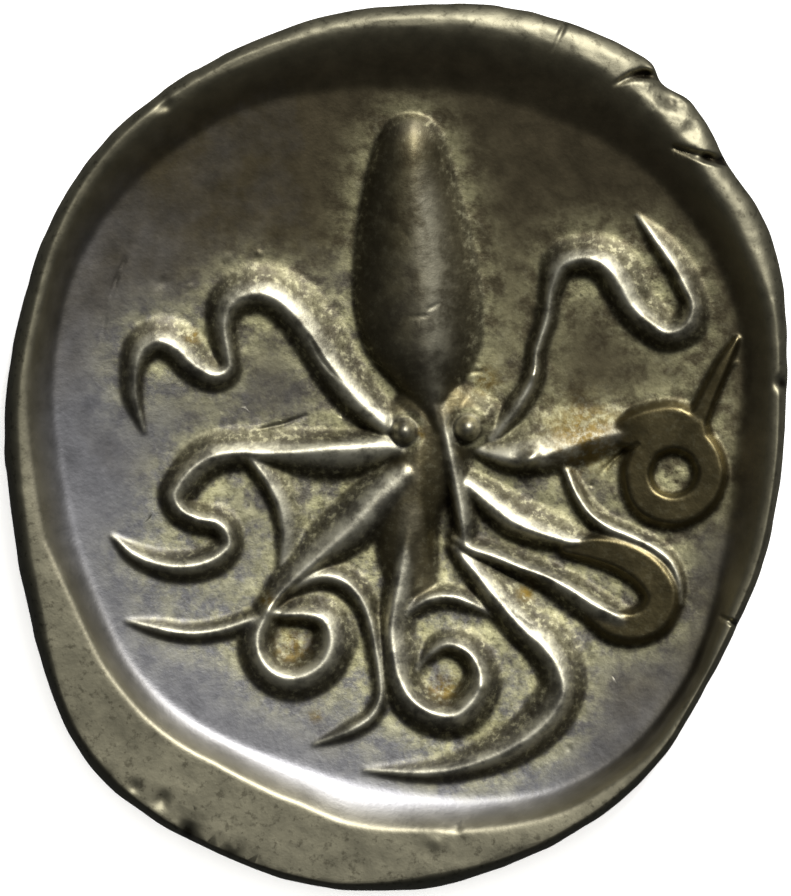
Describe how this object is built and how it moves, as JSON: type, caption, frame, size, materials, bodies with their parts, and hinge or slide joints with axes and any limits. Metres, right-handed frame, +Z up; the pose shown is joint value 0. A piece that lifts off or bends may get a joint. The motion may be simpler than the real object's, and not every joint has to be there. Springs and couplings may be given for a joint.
{
  "type": "ancient silver obol",
  "caption": "Small thick struck silver coin with an irregular edge: an octopus with curling arms in a round punched hollow, and a worn profile head below.",
  "frame": {"origin": "under the middle of the coin, on the surface that it lies on", "axes": "+Z up out of the octopus side, +Y along the octopus from its arms to the tip of its body, +X to the right of it"},
  "size_m": [0.0106, 0.012, 0.0012],
  "materials": {
    "silver": "old toned silver, semi-matt, near-black in the hollows and paler on the worn crests"
  },
  "bodies": {
    "root": {"coin": "silver"}
  },
  "joints": []
}
